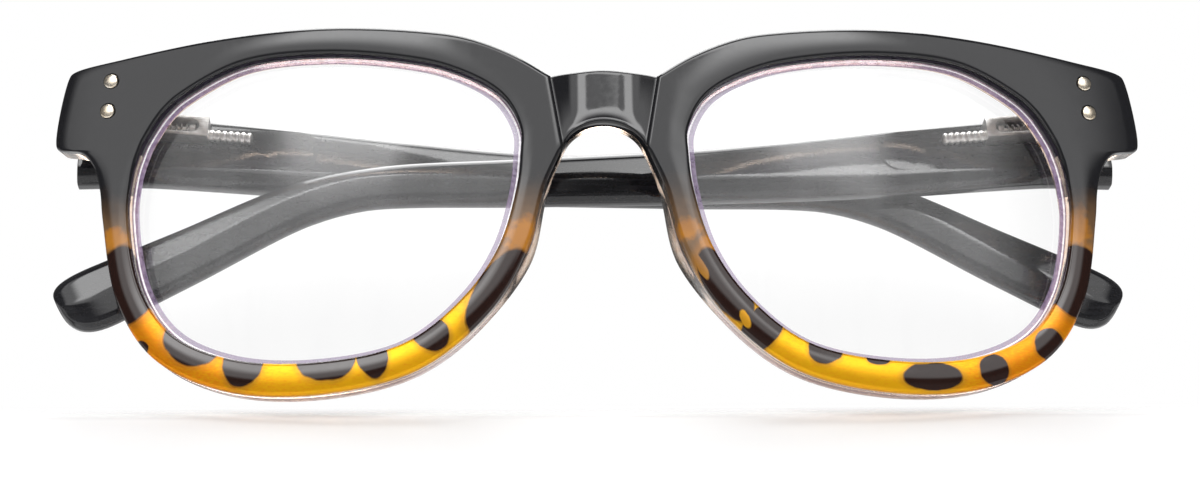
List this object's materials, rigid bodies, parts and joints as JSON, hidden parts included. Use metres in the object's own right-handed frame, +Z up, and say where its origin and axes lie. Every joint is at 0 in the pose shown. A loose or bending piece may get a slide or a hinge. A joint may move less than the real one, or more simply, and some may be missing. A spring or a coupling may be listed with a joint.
{
  "type": "square reading glasses",
  "caption": "Square reading glasses, folded: moulded front with an arched bridge, clear lenses in grooved rims, riveted end pieces and temples on open spring hinges.",
  "frame": {"origin": "on the floor under the middle of the folded glasses, with the lower rims on the floor", "axes": "+Z up, -Y the way the front looks, +X toward the wearer's left; both temples folded behind the front at rest"},
  "size_m": [0.14, 0.0246, 0.0482],
  "materials": {
    "front": "polished, black fading to tortoiseshell",
    "lens": "clear, coated",
    "rivet": "polished pale metal",
    "temple": "polished black",
    "hinge_metal": "satin",
    "spring_wire": "drawn wire"
  },
  "bodies": {
    "front": {"front_frame": "front", "left_lens": "lens", "left_upper_rivet": "rivet", "left_lower_rivet": "rivet", "left_front_leaf": "hinge_metal", "left_hinge_screw": "hinge_metal", "right_lens": "lens", "right_upper_rivet": "rivet", "right_lower_rivet": "rivet", "right_front_leaf": "hinge_metal", "right_hinge_screw": "hinge_metal"},
    "left_slider": {"left_slider": "hinge_metal", "left_rod_collar": "hinge_metal", "left_spring": "spring_wire"},
    "left_temple": {"left_temple": "temple", "left_spring_housing": "hinge_metal"},
    "right_slider": {"right_slider": "hinge_metal", "right_rod_collar": "hinge_metal", "right_spring": "spring_wire"},
    "right_temple": {"right_temple": "temple", "right_spring_housing": "hinge_metal"}
  },
  "joints": [
    {"name": "left_temple_fold", "type": "hinge", "parent": "front", "child": "left_slider", "pos_m": [0.06469, 0.00339, 0.04022], "axis": [0.0928, -0.1373, -0.9862], "range_deg": [0, 92]},
    {"name": "left_spring_slide", "type": "slide", "parent": "left_slider", "child": "left_temple", "axis": [-0.9954, -0.0346, -0.0889], "range_m": [0, 0.0016], "stiffness_N_per_m": 2000, "deforming": ["left_spring"]},
    {"name": "right_temple_fold", "type": "hinge", "parent": "front", "child": "right_slider", "pos_m": [-0.06471, 0.00339, 0.04022], "axis": [0.0655, 0.1375, 0.9883], "range_deg": [0, 88]},
    {"name": "right_spring_slide", "type": "slide", "parent": "right_slider", "child": "right_temple", "axis": [0.9969, 0.0346, -0.0709], "range_m": [0, 0.0016], "stiffness_N_per_m": 2000, "deforming": ["right_spring"]}
  ],
  "couplings": [
    {"joint": "left_temple_fold", "follows": "right_temple_fold", "ratio": 0.3}
  ]
}
